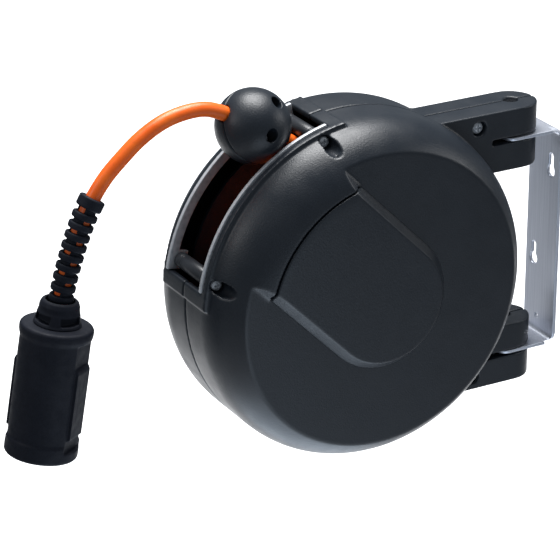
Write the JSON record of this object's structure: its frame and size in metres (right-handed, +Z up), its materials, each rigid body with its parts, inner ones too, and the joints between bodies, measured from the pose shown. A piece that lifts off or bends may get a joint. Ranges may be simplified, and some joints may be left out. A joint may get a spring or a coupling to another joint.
{
  "type": "extension cord reel",
  "caption": "Wall-mounted spring-retracting cord reel: disc casing on a swivelling bracket, roller-guided cord mouth, ball stopper, orange cord, bend protector and socket.",
  "frame": {"origin": "centre of the wall plate's back face", "axes": "+X into the wall, +Z up, casing's front face towards -Y; the casing shells part on Y = 0"},
  "size_m": [0.4338, 0.1429, 0.275],
  "materials": {
    "casing_plastic": "satin charcoal, fine grain",
    "roller_plastic": "satin",
    "black_rubber": "matt",
    "stainless_steel": "satin",
    "zinc_steel": "plated",
    "orange_cord": "satin",
    "natural_nylon": "satin",
    "spring_steel": "blued",
    "copper": "polished",
    "brass": "satin",
    "carbon": "matt"
  },
  "bodies": {
    "wall_mount": {"wall_bracket": "stainless_steel"},
    "casing": {"front_shell": "casing_plastic", "rear_shell": "casing_plastic", "front_panel": "casing_plastic", "upper_arm_screw": "zinc_steel", "lower_arm_screw": "zinc_steel", "upper_pivot_pin": "zinc_steel", "lower_pivot_pin": "zinc_steel", "front_guard_rail": "zinc_steel", "rear_guard_rail": "zinc_steel", "upper_roller_screw": "zinc_steel", "lower_roller_screw": "zinc_steel", "spindle": "zinc_steel", "spindle_nut": "zinc_steel", "spring_arbor": "spring_steel", "pawl_pin": "zinc_steel", "pawl_spring": "spring_steel", "brush_holder": "natural_nylon", "live_brush": "carbon", "neutral_brush": "carbon", "earth_brush": "carbon", "inlet_gland": "black_rubber", "inlet_gland_cap": "black_rubber", "inlet_gland_nut": "black_rubber"},
    "drum": {"drum_hub": "casing_plastic", "drum_front_flange": "casing_plastic", "drum_rear_flange": "casing_plastic", "front_bush": "natural_nylon", "rear_bush": "natural_nylon", "cord_winding": "orange_cord", "spring_case": "zinc_steel", "spring_cover": "zinc_steel", "power_spring": "spring_steel", "ratchet_wheel": "natural_nylon", "slip_ring_carrier": "natural_nylon", "live_slip_ring": "copper", "neutral_slip_ring": "copper", "earth_slip_ring": "copper"},
    "upper_roller": {"upper_roller": "roller_plastic"},
    "lower_roller": {"lower_roller": "roller_plastic"},
    "pawl": {"pawl": "zinc_steel"},
    "cord_end": {"inner_cord": "orange_cord", "free_cord": "orange_cord", "ball_front_half": "casing_plastic", "ball_rear_half": "casing_plastic", "ball_screw_upper": "zinc_steel", "ball_screw_lower": "zinc_steel", "bend_protector": "black_rubber", "connector_neck": "black_rubber", "connector_body": "black_rubber", "connector_face": "black_rubber", "live_contact": "brass", "neutral_contact": "brass", "earth_contact": "brass"}
  },
  "joints": [
    {"name": "casing_swivel", "type": "hinge", "parent": "wall_mount", "child": "casing", "pos_m": [-0.034, 0, 0], "axis": [0, 0, 1], "range_deg": [-55, 55]},
    {"name": "cord_pull", "type": "slide", "parent": "casing", "child": "cord_end", "axis": [-0.866, 0, 0.5], "range_m": [0, 0.04486], "stiffness_N_per_m": 30, "springref_m": -0.4},
    {"name": "drum_spin", "type": "hinge", "parent": "casing", "child": "drum", "pos_m": [-0.172, 0, 0], "axis": [0, -1, 0], "range_deg": [0, 36.01], "deforming": ["power_spring"]},
    {"name": "upper_roller_spin", "type": "hinge", "parent": "casing", "child": "upper_roller", "pos_m": [-0.20554, 0, 0.1147], "axis": [0, 1, 0], "continuous": true},
    {"name": "lower_roller_spin", "type": "hinge", "parent": "casing", "child": "lower_roller", "pos_m": [-0.28844, 0, 0.02688], "axis": [0, 1, 0], "continuous": true},
    {"name": "pawl_swing", "type": "hinge", "parent": "casing", "child": "pawl", "pos_m": [-0.142, 0, -0.071], "axis": [0, 1, 0], "range_deg": [0, 8], "stiffness_Nm_per_rad": 0.03, "springref_deg": -11.46, "deforming": ["pawl_spring"]}
  ],
  "couplings": [
    {"joint": "drum_spin", "follows": "cord_pull", "rad_per_m": 14.006}
  ]
}
